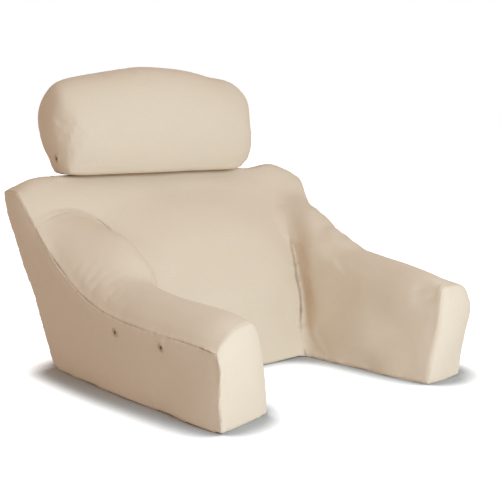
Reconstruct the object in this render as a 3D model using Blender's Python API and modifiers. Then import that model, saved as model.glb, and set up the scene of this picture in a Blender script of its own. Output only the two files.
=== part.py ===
import math

import bmesh
import bpy
from mathutils import Vector

# Backrest pillow: a reclined back with two arms in one cover, and a bolster headrest on its top.
# Metres. X runs across, the arms reach towards -Y, Z is up, and the floor is at zero.

# Overall sizes
BODY_HEIGHT = 0.392
TOP_CROWN = 0.034
TOP_ROLL = 0.032
FRONT_REACH = 0.3685
REAR_FOOT = 0.2665
REAR_LEAN = 0.046
HALF_FOOT = 0.320
TOP_FLARE = 0.081
ARM_LEAN = 0.018
ARM_HEIGHT = 0.170
BACK_FOOT = -0.0305
BACK_SLOPE = 0.273

# Fullness of the filled panels
SIDE_BULGE = 0.017
BACK_BULGE = 0.014
REAR_BULGE = 0.012
CAP_BULGE = 0.012
INNER_BULGE = 0.006

# Headrest
HEAD_WIDTH = 0.522
HEAD_HEIGHT = 0.200
HEAD_CENTRE_X = -0.027
HEAD_CENTRE_Y = 0.2775
HEAD_SEAT_Z = 0.4265
SEAT_GAP = 0.0004

# Eyelets
EYELET_RADIUS = 0.0070
EYELET_HOLE = 0.0028
EYELET_THICK = 0.0024
EYELET_PROUD = 0.0014
FIT_GAP = 0.0004
ROUND_STEPS = 20

# Finish
COTTON = (0.74, 0.64, 0.53, 1.0)
THREAD = (0.62, 0.50, 0.38, 1.0)
COTTON_ROUGHNESS = 0.9
SMOOTH_LEVELS = 2

# Stations along an arm, front to back:
# y on the floor, y on top, height of the outer seam, of the crown and of the inner edge
ARM_STATIONS = (
    (-0.3705, -0.3665, 0.147, 0.184, 0.182),
    (-0.3065, -0.2845, 0.150, 0.201, 0.194),
    (-0.2305, -0.1645, 0.156, 0.210, 0.198),
    (-0.1565, -0.0445, 0.167, 0.223, 0.209),
    (-0.0965, 0.0505, 0.192, 0.260, 0.246),
    (-0.0585, 0.1335, 0.245, 0.330, 0.314),
    (-0.0305, 0.1955, 0.334, 0.354, 0.322),
)

# The right arm is fuller: what it adds to the seam and to the crown at each station
RIGHT_RISE = (
    (0.012, 0.018),
    (0.008, 0.028),
    (0.010, 0.034),
    (0.014, 0.036),
    (0.024, 0.032),
    (0.024, 0.018),
    (0.0, 0.0),
)

# How far the inner corner of each arm's cap stands back from its outer corner, left and right
CAP_TURN = (0.044, -0.014)
CAP_TURN_REACH = (1.0, 0.45, 0.1, 0.0, 0.0, 0.0, 0.0)

# Half distance between the arms' inner faces at the same stations:
# on the floor and on top at the left, then the same at the right
INNER_FACES = (
    (0.188, 0.210, 0.208, 0.244),
    (0.188, 0.216, 0.204, 0.246),
    (0.186, 0.224, 0.198, 0.248),
    (0.184, 0.228, 0.193, 0.252),
    (0.180, 0.229, 0.186, 0.258),
    (0.176, 0.230, 0.178, 0.268),
    (0.172, 0.232, 0.172, 0.282),
)

# Shares across an arm from its outer seam, and how much of the crown each carries
ARM_ACROSS = ((0.0, 0.0), (0.36, 0.85), (0.72, 1.0), (1.0, None))
ARM_ROWS = 3
BACK_ROWS = 2
BACK_COLUMNS = 5
BACK_LAYERS = 2

ARM_COLUMNS = len(ARM_ACROSS) - 1
ARM_LAYERS = len(ARM_STATIONS) - 1
ACROSS = 2 * ARM_COLUMNS + BACK_COLUMNS
ROWS = ARM_ROWS + BACK_ROWS
LAYERS = ARM_LAYERS + BACK_LAYERS


def collection(name, parent):
    made = bpy.data.collections.new(name)
    parent.children.link(made)
    return made


def material(name, colour, roughness):
    made = bpy.data.materials.new(name)
    made.use_nodes = True
    shader = made.node_tree.nodes["Principled BSDF"]
    shader.inputs["Base Color"].default_value = colour
    shader.inputs["Roughness"].default_value = roughness
    shader.inputs["Metallic"].default_value = 0.0
    return made


def place(name, bm, home, finish, smooth=True):
    mesh = bpy.data.meshes.new(name)
    bmesh.ops.recalc_face_normals(bm, faces=bm.faces)
    bm.to_mesh(mesh)
    bm.free()
    for face in mesh.polygons:
        face.use_smooth = smooth
    mesh.materials.append(finish)
    made = bpy.data.objects.new(name, mesh)
    home.objects.link(made)
    return made


def blend(a, b, share):
    return a + (b - a) * share


def outer_half(y, z):
    """Half width of the side panels, which splay out towards the top of the back."""
    back = (y + FRONT_REACH) / (FRONT_REACH + REAR_FOOT)
    back = min(max(back, 0.0), 1.0)
    splay = TOP_FLARE * back * z / BODY_HEIGHT
    lean = ARM_LEAN * (1.0 - back) * z / ARM_HEIGHT
    return HALF_FOOT + splay + lean + SIDE_BULGE * math.sin(math.pi * back)


def arm_point(side, across, station, row):
    """A cage point of an arm: across from the outer seam, station from the front, row from the floor."""
    y_floor, y_top, z_seam, z_crown, z_inner = ARM_STATIONS[station]
    share, crown = ARM_ACROSS[across]
    turn = CAP_TURN[0 if side < 0 else 1] * CAP_TURN_REACH[station] * share
    if side > 0:
        seam_rise, crown_rise = RIGHT_RISE[station]
        z_seam += seam_rise
        z_crown += crown_rise
        z_inner += crown_rise
    rise = row / ARM_ROWS
    top = z_inner if crown is None else blend(z_seam, z_crown, crown)
    y = blend(y_floor, y_top, rise) + turn
    z = top * rise
    if station == ARM_LAYERS:
        y = BACK_FOOT + BACK_SLOPE * z / BODY_HEIGHT
    column = 0 if side < 0 else 2
    low, high = INNER_FACES[station][column:column + 2]
    inner = blend(low, high, rise)
    if 0 < row < ARM_ROWS and station < ARM_LAYERS:
        inner -= INNER_BULGE
    outer = outer_half(y, z)
    if station == 0 and 0 < across < ARM_COLUMNS and 0 < row < ARM_ROWS:
        y -= CAP_BULGE
    return Vector((side * blend(outer, inner, share), y, z))


def back_point(column, layer, row):
    """A cage point of the back: column from the left, layer from its front face, row from the floor."""
    if column <= ARM_COLUMNS:
        side, across = -1.0, column
    elif column >= ACROSS - ARM_COLUMNS:
        side, across = 1.0, ACROSS - column
    else:
        side, across = 0.0, ARM_COLUMNS
    if row <= ARM_ROWS:
        if side:
            front = arm_point(side, across, ARM_LAYERS, row)
        else:
            share = (column - ARM_COLUMNS) / BACK_COLUMNS
            left = arm_point(-1.0, across, ARM_LAYERS, row)
            right = arm_point(1.0, across, ARM_LAYERS, row)
            front = left.lerp(right, share)
    else:
        lower = back_point(column, 0, ARM_ROWS)
        rise = (row - ARM_ROWS) / BACK_ROWS
        edge = abs(2.0 * column / ACROSS - 1.0)
        top_z = BODY_HEIGHT + TOP_CROWN * 0.5 * (1.0 - edge ** 6)
        top_y = BACK_FOOT + BACK_SLOPE
        top_half = outer_half(top_y, top_z)
        reach = blend(lower.x, (2.0 * column / ACROSS - 1.0) * top_half, 0.55 * rise)
        if edge == 1.0:
            reach = math.copysign(outer_half(top_y, blend(lower.z, top_z, rise)), lower.x)
        front = Vector((reach, blend(lower.y, top_y, rise), blend(lower.z, top_z, rise)))
    depth = layer / BACK_LAYERS
    rear_y = REAR_FOOT + REAR_LEAN * front.z / BODY_HEIGHT
    point = Vector((front.x, blend(front.y, rear_y, depth), front.z))
    if column in (0, ACROSS):
        point.x = math.copysign(outer_half(point.y, point.z), front.x)
        return point
    middle = 1.0 - (2.0 * column / ACROSS - 1.0) ** 2
    if 0 < row < ROWS:
        lift = math.sin(math.pi * row / ROWS)
        if layer == 0 and ARM_COLUMNS < column < ACROSS - ARM_COLUMNS:
            point.y -= BACK_BULGE * middle * lift
        if layer == BACK_LAYERS:
            point.y += REAR_BULGE * middle * lift
    if row == ROWS and 0 < layer < BACK_LAYERS:
        point.z += TOP_ROLL * min(1.0, 3.0 * middle)
    return point


def lattice_point(column, layer, row):
    if layer >= ARM_LAYERS:
        return back_point(column, layer - ARM_LAYERS, row)
    if column <= ARM_COLUMNS:
        return arm_point(-1.0, column, layer, row)
    return arm_point(1.0, ACROSS - column, layer, row)


def filled(column, layer, row):
    """Whether a lattice cell is inside the pillow: the whole back, and the two arms before it."""
    if not (0 <= column < ACROSS and 0 <= layer < LAYERS and 0 <= row < ROWS):
        return False
    if layer >= ARM_LAYERS:
        return True
    in_arm = column < ARM_COLUMNS or column >= ACROSS - ARM_COLUMNS
    return in_arm and row < ARM_ROWS


def lattice_cage(bm, size, is_filled, point):
    """Builds the outer faces of the filled cells of a lattice, and returns its vertices by index."""
    corners = {}
    found = {}

    def corner(index):
        if index not in found:
            found[index] = bm.verts.new(point(*index))
            corners[found[index]] = index
        return found[index]

    sides = (
        ((-1, 0, 0), ((0, 0, 0), (0, 0, 1), (0, 1, 1), (0, 1, 0))),
        ((1, 0, 0), ((1, 0, 0), (1, 1, 0), (1, 1, 1), (1, 0, 1))),
        ((0, -1, 0), ((0, 0, 0), (1, 0, 0), (1, 0, 1), (0, 0, 1))),
        ((0, 1, 0), ((0, 1, 0), (0, 1, 1), (1, 1, 1), (1, 1, 0))),
        ((0, 0, -1), ((0, 0, 0), (0, 1, 0), (1, 1, 0), (1, 0, 0))),
        ((0, 0, 1), ((0, 0, 1), (1, 0, 1), (1, 1, 1), (0, 1, 1))),
    )
    for a in range(size[0]):
        for b in range(size[1]):
            for c in range(size[2]):
                if not is_filled(a, b, c):
                    continue
                for (da, db, dc), loop in sides:
                    if is_filled(a + da, b + db, c + dc):
                        continue
                    bm.faces.new([corner((a + x, b + y, c + z)) for x, y, z in loop])
    return corners


def tighten(bm, corners, rule):
    """Sets how tight each sewn or pressed edge stays when the cage is smoothed."""
    layer = bm.edges.layers.float.new("crease_edge")
    for edge in bm.edges:
        first, second = (corners[v] for v in edge.verts)
        edge[layer] = rule(first, second)


def fill_out(bm, share, free):
    """Moves each free vertex out from the mean of its neighbours, so that smoothing doesn't shrink the form."""
    moves = []
    for vert in bm.verts:
        near = [edge.other_vert(vert).co for edge in vert.link_edges]
        mean = sum(near, Vector()) / len(near)
        moves.append((vert.co - mean) * share)
    for vert, move in zip(bm.verts, moves):
        if not free(vert):
            move.z = 0.0
        vert.co += move


def body_crease(first, second):
    """The tightness of a body edge by where it lies: floor edge, outer seams, cap seams or soft."""
    def both(axis, value):
        return first[axis] == value and second[axis] == value

    on_side = both(0, 0) or both(0, ACROSS)
    if on_side and both(2, 0):
        return 0.55
    if on_side and (both(2, ARM_ROWS) and max(first[1], second[1]) <= ARM_LAYERS):
        return 0.50
    if on_side and (both(1, 0) or both(1, LAYERS) or both(2, ROWS)):
        return 0.50
    if on_side and both(1, ARM_LAYERS) and min(first[2], second[2]) >= ARM_ROWS:
        return 0.50
    if both(2, 0) and (both(1, 0) or both(1, LAYERS) or both(0, ARM_COLUMNS)):
        return 0.50
    if both(2, 0) and (both(0, ACROSS - ARM_COLUMNS) or both(1, ARM_LAYERS)):
        return 0.50
    if both(1, 0) and (both(0, ARM_COLUMNS) or both(0, ACROSS - ARM_COLUMNS) or both(2, ARM_ROWS)):
        return 0.20
    if both(1, LAYERS) and both(2, ROWS):
        return 0.30
    return 0.0


def smooth(made, levels=SMOOTH_LEVELS):
    change = made.modifiers.new("Soft", "SUBSURF")
    change.levels = levels
    change.render_levels = levels


def cut(made, cutter):
    change = made.modifiers.new("Cut " + cutter.name, "BOOLEAN")
    change.operation = "DIFFERENCE"
    change.solver = "EXACT"
    change.object = cutter


def hide_cutter(made):
    made.hide_render = True
    made.display_type = "WIRE"


def box(name, home, finish, low, high):
    bm = bmesh.new()
    bmesh.ops.create_cube(bm, size=1.0)
    middle = (Vector(low) + Vector(high)) / 2.0
    size = Vector(high) - Vector(low)
    for vert in bm.verts:
        vert.co = Vector(a * b + c for a, b, c in zip(vert.co, size, middle))
    return place(name, bm, home, finish, smooth=False)


def turned(name, profile, home, finish, at, aim, ring=True):
    """A profile turned about its own Z, then set at a point with that Z along aim. A ring's profile closes."""
    mesh = bpy.data.meshes.new(name)
    edges = [(n, n + 1) for n in range(len(profile) - 1)]
    if ring:
        edges.append((len(profile) - 1, 0))
    mesh.from_pydata([(radius, 0.0, height) for radius, height in profile], edges, [])
    mesh.materials.append(finish)
    made = bpy.data.objects.new(name, mesh)
    home.objects.link(made)
    change = made.modifiers.new("Turn", "SCREW")
    change.steps = ROUND_STEPS
    change.render_steps = ROUND_STEPS
    change.merge_threshold = 0.0001
    change.use_merge_vertices = True
    change.use_smooth_shade = True
    made.location = at
    made.rotation_mode = "QUATERNION"
    made.rotation_quaternion = Vector(aim).to_track_quat("Z", "Y")
    return made


for old in list(bpy.data.objects):
    bpy.data.objects.remove(old)

scene_home = bpy.context.scene.collection
part_home = collection("Backrest pillow", scene_home)
cutter_home = collection("Cutters", scene_home)
cotton = material("Cotton cover", COTTON, COTTON_ROUGHNESS)
thread = material("Eyelet thread", THREAD, COTTON_ROUGHNESS)

# Body
cage = bmesh.new()
places = lattice_cage(cage, (ACROSS, LAYERS, ROWS), filled, lattice_point)
tighten(cage, places, body_crease)
fill_out(cage, 0.12, lambda vert: places[vert][2] > 0)
body = place("body", cage, part_home, cotton)
smooth(body)

# The headrest stands on a level patch of the top roll
seat_cutter = box(
    "Seat cutter",
    cutter_home,
    cotton,
    (-0.6, 0.0, HEAD_SEAT_Z - SEAT_GAP),
    (0.6, 0.6, HEAD_SEAT_Z + 0.1),
)
hide_cutter(seat_cutter)
cut(body, seat_cutter)

# An eyelet's ring has a rounded top, and the pocket's floor closes its hole
RING_PROFILE = (
    (EYELET_HOLE, EYELET_PROUD - EYELET_THICK),
    (EYELET_HOLE, EYELET_PROUD - 0.45 * EYELET_THICK),
    (EYELET_HOLE + 0.0010, EYELET_PROUD - 0.10 * EYELET_THICK),
    (EYELET_RADIUS - 0.0022, EYELET_PROUD),
    (EYELET_RADIUS - 0.0012, EYELET_PROUD - 0.08 * EYELET_THICK),
    (EYELET_RADIUS, EYELET_PROUD - 0.55 * EYELET_THICK),
    (EYELET_RADIUS, EYELET_PROUD - EYELET_THICK),
)
POCKET_RADIUS = EYELET_RADIUS + FIT_GAP
POCKET_DEEP = EYELET_PROUD - EYELET_THICK - FIT_GAP
POCKET_HIGH = 0.010
POCKET_PROFILE = (
    (0.0, POCKET_HIGH),
    (POCKET_RADIUS, POCKET_HIGH),
    (POCKET_RADIUS, POCKET_DEEP),
    (0.0, POCKET_DEEP),
)


def eyelet(name, host, at, aim):
    """A sewn ring in a shallow pocket of the cover."""
    cutter = turned("Pocket " + name, POCKET_PROFILE, cutter_home, cotton, at, aim, ring=False)
    hide_cutter(cutter)
    cut(host, cutter)
    return turned(name, RING_PROFILE, part_home, thread, at, aim)


# Eyelets of the side panels: name, y and height
SIDE_EYELETS = (("rear", -0.0625, 0.137), ("front", -0.2075, 0.130))
SIDE_SETTLE = 0.0008
STEP = 0.001
for side, side_name in ((-1.0, "left"), (1.0, "right")):
    for place_name, y, z in SIDE_EYELETS:
        half = outer_half(y, z)
        aim = Vector(
            (1.0, (half - outer_half(y + STEP, z)) / STEP, (half - outer_half(y, z + STEP)) / STEP)
        )
        aim.x *= side
        aim.normalize()
        at = Vector((side * (half - SIDE_SETTLE), y, z))
        eyelet("eyelet_" + side_name + "_" + place_name, body, at, aim)

# Headrest cage: columns along its length, layers front to rear, rows up
HEAD_COLUMNS = 6
HEAD_LAYERS = 3
HEAD_ROWS = 3
# Share of the half length at each column, of the full height and depth kept there, and lift of its foot
HEAD_STATIONS = (
    (-1.0, 0.86, 0.86, 0.004),
    (-0.84, 0.96, 1.0, 0.0),
    (-0.42, 1.08, 1.06, 0.0),
    (0.0, 1.13, 1.08, 0.0),
    (0.42, 1.09, 1.06, 0.0),
    (0.80, 0.96, 0.98, 0.0),
    (1.0, 0.78, 0.72, 0.020),
)
# Height share, then the front and rear from the centre, at each row of the end profile
HEAD_SECTION = (
    (0.0, -0.056, 0.034),
    (0.32, -0.074, 0.086),
    (0.72, -0.066, 0.112),
    (1.0, -0.036, 0.070),
)
HEAD_ROLL = 0.024


def head_point(column, layer, row):
    along, tall, deep, lift = HEAD_STATIONS[column]
    rise, front, rear = HEAD_SECTION[row]
    y = HEAD_CENTRE_Y + deep * blend(front, rear, layer / HEAD_LAYERS)
    z = HEAD_HEIGHT * tall * rise
    if row == 0:
        z += lift
    if row == HEAD_ROWS and 0 < layer < HEAD_LAYERS:
        z += HEAD_ROLL
    x = HEAD_CENTRE_X + along * HEAD_WIDTH / 2.0
    if column in (0, HEAD_COLUMNS) and 0 < row < HEAD_ROWS and 0 < layer < HEAD_LAYERS:
        x += math.copysign(0.010, along)
    return Vector((x, y, z))


def head_filled(column, layer, row):
    return 0 <= column < HEAD_COLUMNS and 0 <= layer < HEAD_LAYERS and 0 <= row < HEAD_ROWS


head_cage = bmesh.new()
head_places = lattice_cage(
    head_cage, (HEAD_COLUMNS, HEAD_LAYERS, HEAD_ROWS), head_filled, head_point
)
tighten(head_cage, head_places, lambda first, second: 0.35 if first[2] == second[2] == 0 else 0.0)
fill_out(head_cage, 0.25, lambda vert: head_places[vert][2] > 0)
headrest = place("headrest", head_cage, part_home, cotton)
smooth(headrest)
headrest.location = (0.0, 0.0, HEAD_SEAT_Z)

# Eyelets low on the headrest's ends
HEAD_EYELETS = (
    ("eyelet_headrest_left", (-0.2952, 0.2655, 0.037), (-0.992, 0.02, -0.126)),
    ("eyelet_headrest_right", (0.2420, 0.2655, 0.047), (0.991, 0.02, -0.134)),
)
for ring_name, at, aim in HEAD_EYELETS:
    eyelet(ring_name, headrest, Vector(at) + headrest.location, Vector(aim))
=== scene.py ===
import math

import bmesh
import bpy
import numpy as np
from mathutils import Matrix, Vector, noise
from mathutils.bvhtree import BVHTree
from mathutils.kdtree import KDTree


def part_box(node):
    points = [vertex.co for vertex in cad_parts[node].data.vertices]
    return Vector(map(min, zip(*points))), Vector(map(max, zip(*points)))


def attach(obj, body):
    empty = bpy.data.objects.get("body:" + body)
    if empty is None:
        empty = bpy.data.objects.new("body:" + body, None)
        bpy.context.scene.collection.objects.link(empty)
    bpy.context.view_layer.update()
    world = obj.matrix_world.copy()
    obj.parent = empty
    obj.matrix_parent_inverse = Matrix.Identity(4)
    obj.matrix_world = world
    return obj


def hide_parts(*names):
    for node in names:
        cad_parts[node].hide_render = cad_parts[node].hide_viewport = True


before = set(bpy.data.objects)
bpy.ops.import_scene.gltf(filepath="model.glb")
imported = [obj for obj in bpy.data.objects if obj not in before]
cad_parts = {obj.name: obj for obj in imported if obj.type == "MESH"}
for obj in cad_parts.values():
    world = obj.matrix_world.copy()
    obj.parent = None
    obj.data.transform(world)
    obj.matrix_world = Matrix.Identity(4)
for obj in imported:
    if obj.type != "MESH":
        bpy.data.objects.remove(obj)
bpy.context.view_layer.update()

print("stage: frame loaded")

# Camera, floor and light
studio = {
    "cameraAt": (-1.3690, -1.7252, 0.5419),  # fitted to the photo's seam ends and floor corners
    "cameraAim": (0.0, -0.0445, 0.2679),
    "cameraRoll": -0.38,  # degrees
    "lens": 72.74,
    "shift": (-0.0022, -0.0016),
    "sky": 0.63,
    "skyTint": (1.0, 0.84, 0.745, 1.0),
    "backdrop": (1.0, 1.0, 1.0, 1.0),
    "floorSeen": (0.44, 0.44, 0.43, 1.0),  # what the camera sees of it
    "floorBounce": (0.86, 0.86, 0.86, 1.0),  # what the floor throws back on the cloth
    "floorGlow": 1.1,  # away from what stands on it
    "floorOpen": (0.60, 0.975),  # how open to the sky the floor is where the glow starts and is full
    "floorContact": 0.115,  # how wide the shadow at its foot is
    "floorSamples": 16,
    "floorReach": 30.0,
    "keyAt": (-0.2, -2.2, 1.05),
    "keySize": 0.9,
    "keyPower": 38.0,
    "keyTint": (0.70, 0.96, 1.17),
    "keyTarget": (0.0, 0.0, 0.2),
}


def aimedFrom(at, target, rollDegrees=0.0):
    back = (Vector(at) - Vector(target)).normalized()
    right = Vector((0, 0, 1)).cross(back).normalized()
    up = back.cross(right)
    turn = Matrix.Rotation(math.radians(rollDegrees), 3, back)
    placed = Matrix((turn @ right, turn @ up, back)).transposed().to_4x4()
    placed.translation = Vector(at)
    return placed


def linked(thing):
    bpy.context.scene.collection.objects.link(thing)
    return thing


def softLight(name, at, size, power, tint, target):
    data = bpy.data.lights.new(name, "AREA")
    data.shape = "DISK"
    data.size = size
    data.energy = power
    data.color = tint
    lamp = linked(bpy.data.objects.new(name, data))
    lamp.matrix_world = aimedFrom(at, target)
    return lamp


cameraData = bpy.data.cameras.new("camera")
cameraData.lens = studio["lens"]
cameraData.sensor_width = 36.0
cameraData.shift_x, cameraData.shift_y = studio["shift"]
camera = linked(bpy.data.objects.new("camera", cameraData))
camera.matrix_world = aimedFrom(studio["cameraAt"], studio["cameraAim"], studio["cameraRoll"])
bpy.context.scene.camera = camera

softLight(
    "key", studio["keyAt"], studio["keySize"], studio["keyPower"], studio["keyTint"], studio["keyTarget"]
)

# the camera sees a white backdrop, and the cloth is lit by a warm even sky
world = bpy.data.worlds.new("studio")
world.use_nodes = True
skyTree = world.node_tree
skyLight = skyTree.nodes["Background"]
skyLight.inputs["Color"].default_value = studio["skyTint"]
skyLight.inputs["Strength"].default_value = studio["sky"]
backdrop = skyTree.nodes.new("ShaderNodeBackground")
backdrop.inputs["Color"].default_value = studio["backdrop"]
seen = skyTree.nodes.new("ShaderNodeLightPath")
either = skyTree.nodes.new("ShaderNodeMixShader")
skyTree.links.new(seen.outputs["Is Camera Ray"], either.inputs["Fac"])
skyTree.links.new(skyLight.outputs[0], either.inputs[1])
skyTree.links.new(backdrop.outputs[0], either.inputs[2])
skyTree.links.new(either.outputs[0], skyTree.nodes["World Output"].inputs["Surface"])
bpy.context.scene.world = world
bpy.context.scene.view_settings.view_transform = "Standard"

# the floor's glow fades where something stands near, which leaves a close shadow round its foot
floorMaterial = bpy.data.materials.new("paleFloor")
floorMaterial.use_nodes = True
floorTree = floorMaterial.node_tree
floorShader = floorTree.nodes["Principled BSDF"]
floorShader.inputs["Roughness"].default_value = 0.9
floorShader.inputs["Specular IOR Level"].default_value = 0.1
floorShader.inputs["Emission Color"].default_value = (1.0, 1.0, 1.0, 1.0)
floorSeen = floorTree.nodes.new("ShaderNodeLightPath")
floorTone = floorTree.nodes.new("ShaderNodeMix")
floorTone.data_type = "RGBA"
floorTone.inputs["A"].default_value = studio["floorBounce"]
floorTone.inputs["B"].default_value = studio["floorSeen"]
floorTree.links.new(floorSeen.outputs["Is Camera Ray"], floorTone.inputs["Factor"])
floorTree.links.new(floorTone.outputs["Result"], floorShader.inputs["Base Color"])
floorOpen = floorTree.nodes.new("ShaderNodeAmbientOcclusion")
floorOpen.samples = studio["floorSamples"]
floorOpen.inputs["Distance"].default_value = studio["floorContact"]
floorGlow = floorTree.nodes.new("ShaderNodeMapRange")
floorGlow.interpolation_type = "SMOOTHSTEP"
for end, value in zip(("From Min", "From Max"), studio["floorOpen"]):
    floorGlow.inputs[end].default_value = value
floorGlow.inputs["To Max"].default_value = studio["floorGlow"]
floorLit = floorTree.nodes.new("ShaderNodeMath")
floorLit.operation = "MULTIPLY"
floorTree.links.new(floorOpen.outputs["AO"], floorGlow.inputs["Value"])
floorTree.links.new(floorGlow.outputs["Result"], floorLit.inputs[0])
floorTree.links.new(floorSeen.outputs["Is Camera Ray"], floorLit.inputs[1])
floorTree.links.new(floorLit.outputs[0], floorShader.inputs["Emission Strength"])

floorMesh = bpy.data.meshes.new("floor")
floorBuild = bmesh.new()
bmesh.ops.create_grid(floorBuild, x_segments=1, y_segments=1, size=studio["floorReach"])
floorBuild.to_mesh(floorMesh)
floorBuild.free()
floorMesh.materials.append(floorMaterial)
floor = linked(bpy.data.objects.new("floor", floorMesh))
print("stage: camera, light and floor")


# Materials
def nodeGroup(name, inputs, outputs):
    group = bpy.data.node_groups.new(name, "ShaderNodeTree")
    for socketName, kind, value in inputs:
        socket = group.interface.new_socket(name=socketName, in_out="INPUT", socket_type=kind)
        if value is not None:
            socket.default_value = value
    for socketName, kind in outputs:
        group.interface.new_socket(name=socketName, in_out="OUTPUT", socket_type=kind)
    return group, group.nodes.new("NodeGroupInput"), group.nodes.new("NodeGroupOutput")


def wire(tree, target, value):
    if isinstance(value, bpy.types.NodeSocket):
        tree.links.new(value, target)
    else:
        target.default_value = value


def calc(tree, operation, *values):
    node = tree.nodes.new("ShaderNodeMath")
    node.operation = operation
    for socket, value in zip(node.inputs, values):
        wire(tree, socket, value)
    return node.outputs[0]


weaveLook = {
    "crossing": 0.55,  # how far a thread dips under the one that crosses it
    "blend": 6.0,  # how sharply one side's weave gives way to the next
    "slubs": ((900.0, 900.0, 60.0), (60.0, 900.0, 900.0), (900.0, 60.0, 900.0)),
    "mottleDetail": 4.0,
    # painted shade: how much darker the dips between threads are coloured than the thread tops
    "heightShade": 0.35,
}


def makeWeavePlane(look):
    group, source, result = nodeGroup(
        "weavePlane",
        [("U", "NodeSocketFloat", 0.0), ("V", "NodeSocketFloat", 0.0), ("Pitch", "NodeSocketFloat", 0.0006)],
        [("Height", "NodeSocketFloat")],
    )
    u = calc(group, "DIVIDE", source.outputs["U"], source.outputs["Pitch"])
    v = calc(group, "DIVIDE", source.outputs["V"], source.outputs["Pitch"])
    parity = calc(group, "MODULO", calc(group, "ADD", calc(group, "FLOOR", u), calc(group, "FLOOR", v)), 2.0)
    parity = calc(group, "ABSOLUTE", parity)
    warp = calc(group, "ABSOLUTE", calc(group, "SINE", calc(group, "MULTIPLY", u, math.pi)))
    weft = calc(group, "ABSOLUTE", calc(group, "SINE", calc(group, "MULTIPLY", v, math.pi)))
    dip = calc(group, "MULTIPLY", parity, look["crossing"])
    over = calc(group, "MULTIPLY", warp, calc(group, "ADD", 1.0 - look["crossing"], dip))
    under = calc(group, "MULTIPLY", weft, calc(group, "SUBTRACT", 1.0, dip))
    height = calc(group, "MAXIMUM", over, under)
    group.links.new(height, result.inputs["Height"])
    return group


def makeClothWeave(plane, look):
    group, source, result = nodeGroup(
        "clothWeave",
        [
            ("Pitch", "NodeSocketFloat", 0.0006),
            ("Slub", "NodeSocketFloat", 0.5),
            ("Mottle Size", "NodeSocketFloat", 0.06),
        ],
        [("Height", "NodeSocketFloat"), ("Tone and Painted Shade", "NodeSocketFloat"), ("Mottle", "NodeSocketFloat")],
    )
    at = group.nodes.new("ShaderNodeTexCoord").outputs["Object"]
    parts = group.nodes.new("ShaderNodeSeparateXYZ")
    group.links.new(at, parts.inputs[0])
    x, y, z = parts.outputs
    facing = group.nodes.new("ShaderNodeSeparateXYZ")
    group.links.new(group.nodes.new("ShaderNodeNewGeometry").outputs["Normal"], facing.inputs[0])
    shares = [calc(group, "POWER", calc(group, "ABSOLUTE", side), look["blend"]) for side in facing.outputs]
    total = calc(group, "ADD", calc(group, "ADD", shares[0], shares[1]), shares[2])
    height = 0.0
    for share, (u, v) in zip(shares, ((y, z), (x, z), (x, y))):
        woven = group.nodes.new("ShaderNodeGroup")
        woven.node_tree = plane
        group.links.new(u, woven.inputs["U"])
        group.links.new(v, woven.inputs["V"])
        group.links.new(source.outputs["Pitch"], woven.inputs["Pitch"])
        part = calc(group, "MULTIPLY", woven.outputs["Height"], calc(group, "DIVIDE", share, total))
        height = part if height == 0.0 else calc(group, "ADD", height, part)
    slub = 0.0
    for stretch in look["slubs"]:
        mapping = group.nodes.new("ShaderNodeMapping")
        mapping.inputs["Scale"].default_value = stretch
        group.links.new(at, mapping.inputs["Vector"])
        field = group.nodes.new("ShaderNodeTexNoise")
        field.inputs["Scale"].default_value = 1.0
        field.inputs["Detail"].default_value = 1.0
        group.links.new(mapping.outputs[0], field.inputs["Vector"])
        slub = field.outputs["Fac"] if slub == 0.0 else calc(group, "ADD", slub, field.outputs["Fac"])
    slub = calc(group, "SUBTRACT", calc(group, "DIVIDE", slub, float(len(look["slubs"]))), 0.5)
    slub = calc(group, "MULTIPLY", slub, source.outputs["Slub"])
    mottle = group.nodes.new("ShaderNodeTexNoise")
    mottle.inputs["Detail"].default_value = look["mottleDetail"]
    group.links.new(calc(group, "DIVIDE", 1.0, source.outputs["Mottle Size"]), mottle.inputs["Scale"])
    group.links.new(at, mottle.inputs["Vector"])
    group.links.new(calc(group, "ADD", height, slub), result.inputs["Height"])
    # the slubs' own random tone, plus painted shade that darkens the dips between threads
    shade = calc(group, "ADD", slub, calc(group, "MULTIPLY", height, look["heightShade"]))
    group.links.new(shade, result.inputs["Tone and Painted Shade"])
    group.links.new(mottle.outputs["Fac"], result.inputs["Mottle"])
    return group


clothWeave = makeClothWeave(makeWeavePlane(weaveLook), weaveLook)


def mixedColour(tree, factor, first, second):
    node = tree.nodes.new("ShaderNodeMix")
    node.data_type = "RGBA"
    wire(tree, node.inputs["Factor"], factor)
    wire(tree, node.inputs["A"], first)
    wire(tree, node.inputs["B"], second)
    return node.outputs["Result"]


def ranged(tree, value, low, high, outLow, outHigh):
    node = tree.nodes.new("ShaderNodeMapRange")
    names = ("Value", "From Min", "From Max", "To Min", "To Max")
    for name, part in zip(names, (value, low, high, outLow, outHigh)):
        wire(tree, node.inputs[name], part)
    return node.outputs["Result"]


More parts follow.
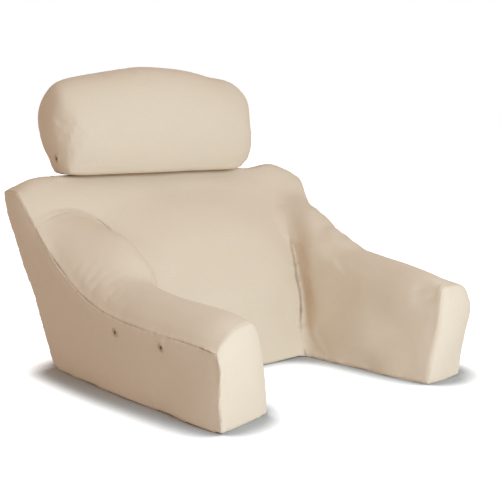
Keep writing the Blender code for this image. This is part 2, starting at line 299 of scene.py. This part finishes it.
def cottonMaterial(name, look):
    made = bpy.data.materials.new(name)
    made.use_nodes = True
    tree = made.node_tree
    shader = tree.nodes["Principled BSDF"]
    shader.inputs["Sheen Weight"].default_value = look["sheen"]
    shader.inputs["Sheen Roughness"].default_value = look["sheenRoughness"]
    shader.inputs["Sheen Tint"].default_value = look["sheenTint"]
    shader.inputs["Specular IOR Level"].default_value = look["specular"]
    woven = tree.nodes.new("ShaderNodeGroup")
    woven.node_tree = clothWeave
    woven.inputs["Pitch"].default_value = look["pitch"]
    woven.inputs["Slub"].default_value = look["slub"]
    woven.inputs["Mottle Size"].default_value = look["mottleSize"]
    # base colour from the slub tone and the painted shade between threads
    shade = ranged(tree, woven.outputs["Tone and Painted Shade"], *look["shadeRange"], 0.0, 1.0)
    base = mixedColour(tree, shade, look["dark"], look["light"])
    patches = ranged(tree, woven.outputs["Mottle"], *look["mottleRange"], 0.0, look["mottle"])
    mottled = mixedColour(tree, patches, base, look["warm"])
    # painted shade: the cover's colour goes towards the crease colour along seam grooves and fold bottoms,
    # where shade falls
    seam = tree.nodes.new("ShaderNodeAttribute")
    seam.attribute_name = "paintedSeamShade"
    seamShaded = mixedColour(tree, seam.outputs["Fac"], mottled, look["crease"])
    tree.links.new(seamShaded, shader.inputs["Base Color"])
    rough = ranged(tree, woven.outputs["Height"], 0.0, 1.0, *look["roughness"])
    tree.links.new(rough, shader.inputs["Roughness"])
    bump = tree.nodes.new("ShaderNodeBump")
    bump.inputs["Strength"].default_value = look["bump"]
    bump.inputs["Distance"].default_value = look["relief"]
    tree.links.new(woven.outputs["Height"], bump.inputs["Height"])
    tree.links.new(bump.outputs["Normal"], shader.inputs["Normal"])
    return made


coverLook = {
    "dark": (0.59, 0.465, 0.335, 1.0),
    "light": (0.735, 0.60, 0.455, 1.0),
    "warm": (0.69, 0.545, 0.395, 1.0),
    # colour of the painted shade in seam grooves and fold bottoms
    "crease": (0.25, 0.165, 0.10, 1.0),
    "shadeRange": (-0.1, 0.5),
    "mottle": 0.35,
    "mottleRange": (0.35, 0.65),
    "mottleSize": 0.05,
    "pitch": 0.00065,
    "slub": 0.7,
    "bump": 0.35,
    "relief": 0.00018,
    "roughness": (0.96, 0.82),  # between threads and on top of them
    "specular": 0.25,
    "sheen": 0.15,
    "sheenRoughness": 0.5,
    "sheenTint": (1.0, 0.94, 0.86, 1.0),
}
coverMaterial = cottonMaterial("creamCotton", coverLook)

eyeletLook = {
    "thread": (0.45, 0.32, 0.225, 1.0),
    "threadLight": (0.62, 0.48, 0.36, 1.0),
    # colour of the disc of painted shade inside the ring
    "hole": (0.19, 0.115, 0.08, 1.0),
    "grain": 1400.0,
    "lobes": 44,  # turns of the binding thread round the ring
    "lobeDepth": 0.00022,
    "steps": 176,
    "rimSides": 14,
    "discSides": 32,
    "outer": 0.0088,
    "inner": 0.0036,
    "low": -0.0012,  # heights along the eyelet's axis, from the cloth
    "disc": 0.0001,
    "high": 0.0013,
    "setBack": 0.0002,
}
threadMaterial = bpy.data.materials.new("eyeletThread")
threadMaterial.use_nodes = True
threadTree = threadMaterial.node_tree
threadShader = threadTree.nodes["Principled BSDF"]
threadNoise = threadTree.nodes.new("ShaderNodeTexNoise")
threadNoise.inputs["Scale"].default_value = eyeletLook["grain"]
threadCoord = threadTree.nodes.new("ShaderNodeTexCoord")
threadTree.links.new(threadCoord.outputs["Object"], threadNoise.inputs["Vector"])
threadTree.links.new(
    mixedColour(threadTree, threadNoise.outputs["Fac"], eyeletLook["thread"], eyeletLook["threadLight"]),
    threadShader.inputs["Base Color"],
)
threadRough = ranged(threadTree, threadNoise.outputs["Fac"], 0.3, 0.7, 0.55, 0.75)
threadTree.links.new(threadRough, threadShader.inputs["Roughness"])
# painted shade: a dark disc standing in for the shaded inside of the eyelet's hole
holeMaterial = bpy.data.materials.new("eyeletHoleShade")
holeMaterial.use_nodes = True
holeShader = holeMaterial.node_tree.nodes["Principled BSDF"]
holeShader.inputs["Base Color"].default_value = eyeletLook["hole"]
holeShader.inputs["Roughness"].default_value = 0.95
print("stage: materials")


# Padded covers
coverMake = {  # what both covers share: the remesh, the filling by pressure and the cloth
    "merge": 0.00005,
    "smoothing": 2,
    "quality": 3,
    "mass": 0.25,
    "stretch": 14.0,
    "shear": 6.0,
    "pressure": 4.0,
    "frames": 14,
}


def mergedCopy(nodeName, pieceName):
    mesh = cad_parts[nodeName].data.copy()
    mesh.name = pieceName
    mesh.materials.clear()
    build = bmesh.new()
    build.from_mesh(mesh)
    bmesh.ops.remove_doubles(build, verts=build.verts, dist=coverMake["merge"])
    build.to_mesh(mesh)
    build.free()
    return linked(bpy.data.objects.new(pieceName, mesh))


def applyModifiers(piece):
    bpy.context.view_layer.update()
    graph = bpy.context.evaluated_depsgraph_get()
    baked = bpy.data.meshes.new_from_object(piece.evaluated_get(graph), depsgraph=graph)
    old = piece.data
    piece.modifiers.clear()
    piece.data = baked
    bpy.data.meshes.remove(old)


def positions(mesh):
    flat = np.empty(len(mesh.vertices) * 3)
    mesh.vertices.foreach_get("co", flat)
    return flat.reshape(-1, 3)


def directions(mesh):
    flat = np.empty(len(mesh.vertices) * 3)
    mesh.vertices.foreach_get("normal", flat)
    return flat.reshape(-1, 3)


def setPositions(mesh, where):
    mesh.vertices.foreach_set("co", where.reshape(-1))
    mesh.update()


def softened(piece, chosen, rounds):
    chosen = set(np.flatnonzero(chosen).tolist())
    build = bmesh.new()
    build.from_mesh(piece.data)
    soft = [v for v in build.verts if v.index in chosen]
    for step in range(rounds):
        bmesh.ops.smooth_vert(
            build, verts=soft, factor=0.5, use_axis_x=True, use_axis_y=True, use_axis_z=True
        )
    build.to_mesh(piece.data)
    build.free()


def voxelled(piece, voxel):
    change = piece.modifiers.new("Remesh", "REMESH")
    change.mode = "VOXEL"
    change.voxel_size = voxel
    applyModifiers(piece)
    softened(piece, np.ones(len(piece.data.vertices)), coverMake["smoothing"])


def inflated(piece, look, held):
    start = positions(piece.data)
    group = piece.vertex_groups.new(name="held")
    for index in np.flatnonzero(held > 0.01):
        group.add([int(index)], float(held[index]), "REPLACE")
    change = piece.modifiers.new("Cloth", "CLOTH")
    settings = change.settings
    settings.quality = coverMake["quality"]
    settings.mass = coverMake["mass"]
    settings.tension_stiffness = coverMake["stretch"]
    settings.compression_stiffness = coverMake["stretch"]
    settings.shear_stiffness = coverMake["shear"]
    settings.bending_stiffness = look["bend"]
    settings.use_pressure = True
    settings.uniform_pressure_force = coverMake["pressure"]
    settings.effector_weights.gravity = 0.0
    settings.vertex_group_mass = "held"
    change.collision_settings.use_collision = False
    scene = bpy.context.scene
    change.point_cache.frame_start = 1
    change.point_cache.frame_end = coverMake["frames"]
    for step in range(1, coverMake["frames"] + 1):
        scene.frame_set(step)
    applyModifiers(piece)
    scene.frame_set(1)
    moved = positions(piece.data) - start
    length = np.linalg.norm(moved, axis=1, keepdims=True)
    kept = look["cap"] * np.tanh(length / look["cap"]) / np.maximum(length, 1e-9)
    setPositions(piece.data, start + moved * kept)
    piece.vertex_groups.clear()
    print("stage:", piece.name, "filled, moved up to", round(float(length.max()) * 1000, 1), "mm")


# Points that a sewn line or fold passes through, each with how firmly it is drawn in there and how dark its
# painted shade is
seamLines = {
    "leftSide": [  # along the top from the rear, down the front and along the arm
        (-0.4005, 0.3100, 0.3903, 0.6), (-0.4011, 0.2775, 0.3921, 0.8), (-0.3999, 0.2445, 0.3882, 1.0),
        (-0.3962, 0.2231, 0.3639, 0.7), (-0.3893, 0.1953, 0.3240, 0.8), (-0.3767, 0.1312, 0.2503, 1.0),
        (-0.3683, 0.0488, 0.1959, 1.0), (-0.3627, -0.0482, 0.1689, 1.0), (-0.3552, -0.1646, 0.1567, 1.0),
        (-0.3450, -0.2795, 0.1504, 1.0), (-0.3357, -0.3578, 0.1425, 0.7),
    ],
    "rightSide": [
        (0.4005, 0.3100, 0.3903, 0.6), (0.4011, 0.2775, 0.3921, 0.8), (0.4000, 0.2445, 0.3882, 1.0),
        (0.3962, 0.2231, 0.3638, 0.8), (0.3900, 0.1953, 0.3275, 0.8), (0.3805, 0.1312, 0.2707, 1.0),
        (0.3722, 0.0488, 0.2185, 1.0), (0.3651, -0.0482, 0.1839, 1.0), (0.3567, -0.1646, 0.1670, 1.0),
        (0.3460, -0.2795, 0.1594, 0.9), (0.3370, -0.3580, 0.1536, 0.5),
    ],
    "leftCap": [  # up the outer edge, over the top and down the inner edge
        (-0.3198, -0.3698, 0.0022, 0.7), (-0.3251, -0.3691, 0.0490, 1.0), (-0.3304, -0.3678, 0.0983, 1.0),
        (-0.3357, -0.3578, 0.1425, 0.8), (-0.2933, -0.3442, 0.1696, 0.25), (-0.2479, -0.3297, 0.1781, 0.25),
        (-0.2157, -0.3158, 0.1724, 0.2), (-0.2022, -0.3208, 0.1228, 0.2), (-0.1946, -0.3228, 0.0612, 0.2),
        (-0.1920, -0.3237, 0.0029, 0.2),
    ],
    "rightCap": [
        (0.3198, -0.3699, 0.0024, 0.5), (0.3255, -0.3691, 0.0530, 0.7), (0.3313, -0.3678, 0.1064, 0.6),
        (0.3370, -0.3580, 0.1536, 0.4), (0.3052, -0.3637, 0.1862, 0.15), (0.2711, -0.3683, 0.1965, 0.15),
        (0.2462, -0.3652, 0.1909, 0.3), (0.2302, -0.3735, 0.1355, 0.12), (0.2180, -0.3755, 0.0676, 0.1),
        (0.2110, -0.3764, 0.0032, 0.1),
    ],
    "leftRear": [  # the rear edge of the side panel, top to floor
        (-0.4005, 0.3100, 0.3903, 0.6), (-0.3951, 0.3091, 0.3636, 0.8), (-0.3864, 0.3041, 0.3220, 1.0),
        (-0.3660, 0.2924, 0.2231, 1.0), (-0.3428, 0.2794, 0.1114, 1.0), (-0.3200, 0.2651, 0.0049, 0.8),
    ],
    "rightRear": [
        (0.4005, 0.3100, 0.3903, 0.6), (0.3951, 0.3091, 0.3636, 0.8), (0.3864, 0.3041, 0.3220, 1.0),
        (0.3660, 0.2924, 0.2231, 1.0), (0.3428, 0.2794, 0.1114, 1.0), (0.3200, 0.2651, 0.0049, 0.8),
    ],
    "rearTop": [
        (-0.4005, 0.3100, 0.3903, 0.6), (-0.3336, 0.3114, 0.4029, 1.0), (-0.2679, 0.3120, 0.4078, 1.0),
        (-0.1194, 0.3122, 0.4084, 1.0), (0.0, 0.3122, 0.4084, 1.0), (0.1428, 0.3122, 0.4084, 1.0),
        (0.2845, 0.3120, 0.4078, 1.0), (0.3420, 0.3114, 0.4029, 1.0), (0.4005, 0.3100, 0.3903, 0.6),
    ],
    "leftArc": [  # where the arm's crown runs into the back
        (-0.3893, 0.1953, 0.3240, 1.0), (-0.3346, 0.2032, 0.3475, 0.7), (-0.2784, 0.2033, 0.3504, 0.5),
        (-0.2228, 0.1831, 0.3177, 0.6),
    ],
    "leftCrease": [
        (-0.2500, 0.1990, 0.3370, 0.1), (-0.2228, 0.1831, 0.3177, 0.8), (-0.1977, 0.1102, 0.2143, 1.0),
        (-0.1795, 0.0367, 0.1070, 0.7), (-0.1713, -0.0308, 0.0024, 0.6),
    ],
    "rightCrease": [
        (0.2530, 0.1550, 0.2800, 0.0), (0.2301, 0.1102, 0.2161, 0.7), (0.1957, 0.0367, 0.1079, 1.0),
        (0.1714, -0.0308, 0.0024, 0.8),
    ],
}
# a line's rolled shoulders (reach, depth) in a broad swell (roll, swell), with puckers (pucker, pitch) and a
# dark line of painted shade along its bottom (shade, line)
seamStyle = {
    "side": {
        "roll": 0.034, "swell": 0.0045, "reach": 0.0085, "depth": 0.0042,
        "pucker": 0.00040, "pitch": 0.019, "shade": 1.0, "line": 0.0023,
    },
    "cap": {
        "roll": 0.020, "swell": 0.0010, "reach": 0.0060, "depth": 0.0024,
        "pucker": 0.00045, "pitch": 0.014, "shade": 0.50, "line": 0.0011,
    },
    "rear": {
        "roll": 0.030, "swell": 0.0020, "reach": 0.0070, "depth": 0.0030,
        "pucker": 0.00050, "pitch": 0.016, "shade": 0.75, "line": 0.0013,
    },
    "arc": {
        "roll": 0.040, "swell": 0.0010, "reach": 0.0300, "depth": 0.0016,
        "pucker": 0.0, "pitch": 0.03, "shade": 0.0, "line": 0.002,
    },
    "crease": {
        "roll": 0.030, "swell": 0.0, "reach": 0.0120, "depth": 0.0085,
        "pucker": 0.0010, "pitch": 0.034, "shade": 0.75, "line": 0.0026,
    },
}
bodySeams = (
    ("leftSide", "side"), ("rightSide", "side"), ("leftCap", "cap"), ("rightCap", "cap"),
    ("leftRear", "rear"), ("rightRear", "rear"), ("rearTop", "rear"),
    ("leftArc", "arc"), ("leftCrease", "crease"), ("rightCrease", "crease"),
)


def curveThrough(points, step=0.0015):  # a Catmull-Rom curve as rows of x, y, z and strength
    knots = [np.array(p) for p in points]
    knots = [2 * knots[0] - knots[1]] + knots + [2 * knots[-1] - knots[-2]]
    run = []
    for a, b, c, d in zip(knots, knots[1:], knots[2:], knots[3:]):
        count = max(2, int(np.linalg.norm((c - b)[:3]) / step))
        for k in range(count):
            t = k / count
            square, cube = 2 * a - 5 * b + 4 * c - d, 3 * b - a - 3 * c + d
            run.append(0.5 * (2 * b + (c - a) * t + square * t * t + cube * t ** 3))
    run.append(knots[-2])
    return np.array(run)


farOff = 1.0  # the distance given to points that are beyond reach


def nearest(run, where, reach):
    tree = KDTree(len(run))
    for index, point in enumerate(run):
        tree.insert(point[:3], index)
    tree.balance()
    lengths = np.concatenate(([0.0], np.cumsum(np.linalg.norm(np.diff(run[:, :3], axis=0), axis=1))))
    low = run[:, :3].min(axis=0) - reach
    high = run[:, :3].max(axis=0) + reach
    chosen = np.flatnonzero(np.all((where > low) & (where < high), axis=1))
    distance = np.full(len(where), farOff)
    along = np.zeros(len(where))
    strength = np.zeros(len(where))
    foot = where.copy()
    for index in chosen:
        _, which, far = tree.find(Vector(where[index]))
        foot[index] = run[which, :3]
        distance[index] = far
        along[index] = lengths[which]
        strength[index] = run[which, 3]
    return distance, along, strength, foot


def nearestOf(runs, where, reach):
    near = np.full(len(where), farOff)
    for run in runs:
        near = np.minimum(near, nearest(run, where, reach)[0])
    return near


def refined(piece, runs, reaches):
    for reach in reaches:
        near = nearestOf(runs, positions(piece.data), reach)
        chosen = set(np.flatnonzero(near < reach).tolist())
        build = bmesh.new()
        build.from_mesh(piece.data)
        edges = [e for e in build.edges if e.verts[0].index in chosen and e.verts[1].index in chosen]
        bmesh.ops.subdivide_edges(build, edges=edges, cuts=1, use_grid_fill=True, smooth=0.0)
        build.to_mesh(piece.data)
        build.free()


def surfaceOf(piece):
    build = bmesh.new()
    build.from_mesh(piece.data)
    tree = BVHTree.FromBMesh(build)
    build.free()
    return tree


def drawnBack(piece, surface, share):
    where = positions(piece.data)
    for index in np.flatnonzero(share > 0.01):
        there = surface.find_nearest(Vector(where[index]))[0]
        where[index] += (np.array(there) - where[index]) * share[index]
    setPositions(piece.data, where)


def onLines(piece, surface, runs, band, snap):
    near = nearestOf(runs, positions(piece.data), band * 2.5)
    drawnBack(piece, surface, np.exp(-((near / band) ** 2)))
    where = positions(piece.data)
    for run in runs:
        distance, _, _, foot = nearest(run, where, snap * 2.0)
        close = distance < snap
        where[close] = foot[close]
    setPositions(piece.data, where)


def melted(piece, places):
    for centre, reach, rounds in places:
        far = np.linalg.norm((positions(piece.data) - np.array(centre)) / np.array(reach), axis=1)
        softened(piece, far < 1.0, rounds)


def settled(piece, runs, beside, rounds):
    near = nearestOf(runs, positions(piece.data), beside[1])
    softened(piece, (near > beside[0]) & (near < beside[1]), rounds)


def smoothStep(share):
    return share * share * (3 - 2 * share)


def pushed(piece, pushes):
    where = positions(piece.data)
    start = where.copy()
    for centre, reach, move in pushes:
        far = np.linalg.norm((start - np.array(centre)) / np.array(reach), axis=1)
        share = smoothStep(np.clip(1.5 * (1.0 - far), 0.0, 1.0))
        where += share[:, None] * np.array(move)
    setPositions(piece.data, where)


handWork = {  # the unevenness of hand sewing along a line
    "depths": ((0.25, 57.0, 0.0), (0.18, 143.0, 1.0)),  # share of the depth, radians per metre and start
    "puckers": ((1.0, 0.0), (1.62, 1.0), (0.57, 2.0)),  # rate against the style's pitch, and start
}


def sewn(piece, seams, runs):
    where = positions(piece.data)
    out = directions(piece.data)
    lift = np.zeros(len(where))
    shade = np.zeros(len(where))
    for name, kind in seams:
        style = seamStyle[kind]
        widest = max(style["reach"] * 2.0, style["roll"])
        distance, along, strength, _ = nearest(runs[name], where, widest)
        beside = np.clip(1.0 - distance / style["reach"], 0.0, 1.0)
        rolled = 1.0 - np.sqrt(1.0 - beside ** 2)  # two round shoulders that meet in a narrow valley
        uneven = 1.0 + sum(size * np.sin(along * rate + start) for size, rate, start in handWork["depths"])
        turn = along * 2 * math.pi / style["pitch"]
        wave = sum(np.sin(rate * turn + start) for rate, start in handWork["puckers"]) / 2
        fade = np.exp(-((distance / (style["reach"] * 1.2)) ** 2))
        broad = np.clip(1.0 - distance / style["roll"], 0.0, 1.0) ** 2  # the stuffed swell beside it
        lift -= (style["depth"] * rolled * uneven + style["swell"] * broad) * strength
        lift += style["pucker"] * wave * fade * strength
        # painted shade: a dark line along the bottom of each seam groove and fold
        line = style["shade"] * strength * np.exp(-((distance / style["line"]) ** 2))
        shade = np.maximum(shade, line)
    setPositions(piece.data, where + out * lift[:, None])
    return shade


def eased(piece, amount, size, offset):
    where = positions(piece.data)
    out = directions(piece.data)
    lift = np.array([noise.noise(Vector(p) / size + Vector(offset)) for p in where]) * amount
    setPositions(piece.data, where + out * lift[:, None])


def flatFoot(piece, level, soft):
    where = positions(piece.data)
    above = np.maximum(where[:, 2] - level, 0.0)
    where[:, 2] = level + np.where(above < soft, above ** 2 / soft, above)
    setPositions(piece.data, where)


def storePaintedShade(piece, shade):  # the painted shade along seams and folds, read by the cover's material
    attribute = piece.data.attributes.new("paintedSeamShade", "FLOAT", "POINT")
    attribute.data.foreach_set("value", shade.astype(np.float32))


def finished(piece, nodeName):
    for face in piece.data.polygons:
        face.use_smooth = True
    piece.data.materials.clear()
    piece.data.materials.append(coverMaterial)
    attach(piece, "root")
    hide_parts(nodeName)


# Body cover
bodyLook = {
    "voxel": 0.0060,
    "inset": 0.0022,  # room for the filling to swell again
    "cap": 0.008,  # the most that the filling moves a point
    "bend": 3.0,
    "seamHold": 0.012,
    "footHold": (0.002, 0.010),  # from which height, and over how much, the foot comes free
    "ease": 0.0022,
    "easeSize": 0.085,
    "easeOffset": (12.4, 6.8, 21.2),
    "reaches": (0.014, 0.009),  # the mesh is halved once within each
    "fineReaches": (0.0035,),
    "band": 0.005,
    "snap": 0.0006,
    "settle": (0.0032, 0.020),
    "settleRounds": 5,
    "footSoft": 0.004,
    "fill": 0.8,
}
# where the headrest stands: held in x, y and above a height, and kept under the headrest's own foot
seat = {
    "x": (-0.300, 0.225),
    "y": (0.255, 0.330),
    "above": 0.4150,
    "margin": 0.02,
    "front": 0.19,
    "top": 0.4262,
}
bodyPushes = (  # centre, reach and move of the unevenness that the stuffing gives
    ((-0.400, 0.290, 0.390), 0.12, (-0.005, 0.0, 0.008)),
    ((-0.390, 0.300, 0.280), 0.12, (-0.006, 0.0, 0.0)),
    ((0.350, 0.280, 0.405), 0.10, (0.004, 0.0, 0.009)),
    ((0.395, 0.180, 0.310), 0.15, (0.006, 0.0, 0.005)),
    ((0.312, 0.000, 0.250), 0.080, (0.0, 0.0, 0.011)),
    ((0.385, 0.080, 0.240), 0.12, (0.000, 0.0, 0.006)),
    ((0.345, -0.365, 0.165), 0.08, (0.014, 0.0, 0.010)),
    ((0.260, -0.360, 0.000), (0.15, 0.18, 0.13), (-0.015, 0.0, 0.0)),
    ((0.190, -0.190, 0.000), (0.10, 0.16, 0.14), (-0.011, 0.0, 0.0)),
    ((-0.320, -0.370, 0.000), (0.12, 0.20, 0.13), (-0.014, -0.002, 0.0)),
    ((0.020, 0.100, 0.240), (0.44, 0.16, 0.24), (0.0, -0.036, 0.0)),
    ((0.265, 0.110, 0.200), (0.16, 0.17, 0.24), (0.003, 0.0, 0.0)),
    ((0.250, 0.060, 0.080), (0.11, 0.12, 0.11), (0.011, -0.009, 0.0)),
    ((0.246, -0.330, 0.178), 0.045, (0.0030, 0.0, 0.0)),
    ((-0.225, 0.080, 0.250), 0.12, (0.008, -0.004, 0.012)),
)
bodyMelts = (  # centre, reach and rounds of smoothing, where one form runs into the next
    ((0.300, 0.190, 0.340), (0.075, 0.075, 0.070), 60),
    ((0.270, 0.100, 0.290), (0.045, 0.120, 0.060), 40),
    ((-0.225, 0.100, 0.280), (0.060, 0.100, 0.060), 20),
)
fineSeams = ("leftSide", "rightSide", "leftRear", "rightRear", "rearTop", "leftCap")
body = mergedCopy("body", "bodyCover")
bodySurface = surfaceOf(body)
voxelled(body, bodyLook["voxel"])
print("stage: body remeshed,", len(body.data.polygons), "faces")
drawnBack(body, bodySurface, np.ones(len(body.data.vertices)))
where = positions(body.data)
seamRuns = {name: curveThrough(points) for name, points in seamLines.items()}
allRuns = list(seamRuns.values())
distance = nearestOf(allRuns, where, bodyLook["seamHold"])
held = np.clip(1.2 - distance / bodyLook["seamHold"], 0.0, 1.0)
footFrom, footOver = bodyLook["footHold"]
held = np.maximum(held, np.clip(1.0 - (where[:, 2] - footFrom) / footOver, 0.0, 1.0))
seated = (where[:, 0] > seat["x"][0]) & (where[:, 0] < seat["x"][1]) & (where[:, 2] > seat["above"])
seated &= (where[:, 1] > seat["y"][0]) & (where[:, 1] < seat["y"][1])
held = np.maximum(held, seated)
setPositions(body.data, where - directions(body.data) * bodyLook["inset"] * (1.0 - held[:, None]))
inflated(body, bodyLook, held)
melted(body, bodyMelts)
eased(body, bodyLook["ease"], bodyLook["easeSize"], bodyLook["easeOffset"])
refined(body, allRuns, bodyLook["reaches"])
refined(body, [seamRuns[name] for name in fineSeams], bodyLook["fineReaches"])
onLines(body, bodySurface, allRuns, bodyLook["band"], bodyLook["snap"])
# sewn also returns the painted shade along seams and folds
shade = sewn(body, bodySeams, seamRuns)
settled(body, allRuns, bodyLook["settle"], bodyLook["settleRounds"])
pushed(body, bodyPushes)
flatFoot(body, 0.0, bodyLook["footSoft"])
where = positions(body.data)
under = (where[:, 0] > seat["x"][0] - seat["margin"]) & (where[:, 0] < seat["x"][1] + seat["margin"])
under &= where[:, 1] > seat["front"]
where[under, 2] = np.minimum(where[under, 2], seat["top"])
setPositions(body.data, where)
storePaintedShade(body, shade)
finished(body, "body")
print("stage: body cover,", len(body.data.polygons), "faces")

# Headrest cover
headLook = {
    "voxel": 0.0050,
    "inset": 0.0020,
    "cap": 0.005,
    "bend": 0.6,
    "footHold": (0.001, 0.010),
    "ease": 0.0016,
    "easeSize": 0.07,
    "easeOffset": (27.9, 15.3, 47.7),
    "footSoft": 0.003,
    "fill": 0.85,
}
headPushes = (
    ((0.235, 0.300, 0.620), 0.11, (0.012, 0.0, 0.008)),
    ((0.245, 0.260, 0.440), 0.06, (-0.006, 0.0, 0.003)),
    ((-0.290, 0.300, 0.580), 0.13, (-0.006, 0.0, 0.001)),
)
head = mergedCopy("headrest", "headrestCover")
headSurface = surfaceOf(head)
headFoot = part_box("headrest")[0][2]
voxelled(head, headLook["voxel"])
drawnBack(head, headSurface, np.ones(len(head.data.vertices)))
where = positions(head.data)
footFrom, footOver = headLook["footHold"]
held = np.clip(1.0 - (where[:, 2] - headFoot - footFrom) / footOver, 0.0, 1.0)
setPositions(head.data, where - directions(head.data) * headLook["inset"] * (1.0 - held[:, None]))
inflated(head, headLook, held)
eased(head, headLook["ease"], headLook["easeSize"], headLook["easeOffset"])
pushed(head, headPushes)
flatFoot(head, headFoot, headLook["footSoft"])
# the headrest gets no painted seam shade
storePaintedShade(head, np.zeros(len(head.data.vertices)))
finished(head, "headrest")
print("stage: headrest cover,", len(head.data.polygons), "faces")


# Eyelets: thread-bound rings with a dark disc of painted shade in the centre, for the shaded inside of the
# hole
def eyeletAxis(nodeName):  # the thin way of the CAD ring, outwards
    points = positions(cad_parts[nodeName].data)
    centred = points - points.mean(axis=0)
    axis = np.linalg.svd(centred, full_matrices=False)[2][2]
    return Vector(axis * math.copysign(1.0, axis[0] * points[:, 0].mean()))


def boundEyelet(nodeName, look):
    low, high = (Vector(corner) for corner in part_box(nodeName))
    axis = eyeletAxis(nodeName)
    build = bmesh.new()
    middle = (look["outer"] + look["inner"]) / 2
    half = (look["outer"] - look["inner"]) / 2
    level = (look["high"] + look["low"]) / 2
    tall = (look["high"] - look["low"]) / 2
    rim = bmesh.ops.create_circle(build, cap_ends=False, segments=look["rimSides"], radius=1.0)["verts"]
    for vert in rim:
        vert.co = Vector((middle + half * vert.co.x, 0.0, level + tall * vert.co.y))
    bmesh.ops.spin(
        build, geom=build.verts[:] + build.edges[:], cent=(0, 0, 0), axis=(0, 0, 1), dvec=(0, 0, 0),
        angle=2 * math.pi, steps=look["steps"], use_merge=True, use_normal_flip=False, use_duplicate=False,
    )
    bmesh.ops.remove_doubles(build, verts=build.verts, dist=0.00001)
    for vert in build.verts:
        turn = math.atan2(vert.co.y, vert.co.x)
        lobe = look["lobeDepth"] * (math.cos(turn * look["lobes"]) + 0.4 * math.sin(turn * 5.0))
        flat = Vector((vert.co.x, vert.co.y, 0.0))
        outward = flat.normalized() * (flat.length - middle)
        outward.z = vert.co.z - level
        vert.co += outward.normalized() * lobe
    bmesh.ops.recalc_face_normals(build, faces=build.faces)
    ringFaces = len(build.faces)
    # a disc of painted shade inside the ring, for the hole's dark inside
    bmesh.ops.create_circle(
        build, cap_ends=True, segments=look["discSides"], radius=middle,
        matrix=Matrix.Translation((0, 0, look["disc"])),
    )
    build.faces.ensure_lookup_table()
    for face in build.faces[ringFaces:]:
        face.material_index = 1
    place = axis.to_track_quat("Z", "Y").to_matrix().to_4x4()
    place.translation = (low + high) / 2 - axis * look["setBack"]
    bmesh.ops.transform(build, matrix=place, verts=build.verts)
    mesh = bpy.data.meshes.new(nodeName + "Bound")
    build.to_mesh(mesh)
    build.free()
    for face in mesh.polygons:
        face.use_smooth = True
    mesh.materials.append(threadMaterial)
    mesh.materials.append(holeMaterial)
    piece = linked(bpy.data.objects.new(nodeName + "Bound", mesh))
    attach(piece, "root")
    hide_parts(nodeName)
    return piece


def seatEyelet(cover, nodeName, look):  # brings the cloth round an eyelet to its plane
    low, high = (Vector(corner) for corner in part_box(nodeName))
    centre = np.array((low + high) / 2)
    axis = np.array(eyeletAxis(nodeName))
    where = positions(cover.data)
    rel = where - centre
    height = rel @ axis
    radius = np.linalg.norm(rel - height[:, None] * axis, axis=1)
    inside = (radius < look["reach"]) & (np.abs(height) < look["deep"])
    ease = smoothStep(np.clip((radius - look["flat"]) / (look["reach"] - look["flat"]), 0.0, 1.0))
    change = (look["sunk"] - height) * (1.0 - ease) * inside
    setPositions(cover.data, where + change[:, None] * axis)


seatLook = {"flat": 0.0098, "reach": 0.0165, "deep": 0.02, "sunk": -0.0004}
for nodeName in sorted(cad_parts):
    if nodeName.startswith("eyelet"):
        seatEyelet(head if "headrest" in nodeName else body, nodeName, seatLook)
        boundEyelet(nodeName, eyeletLook)
print("stage: eyelets")
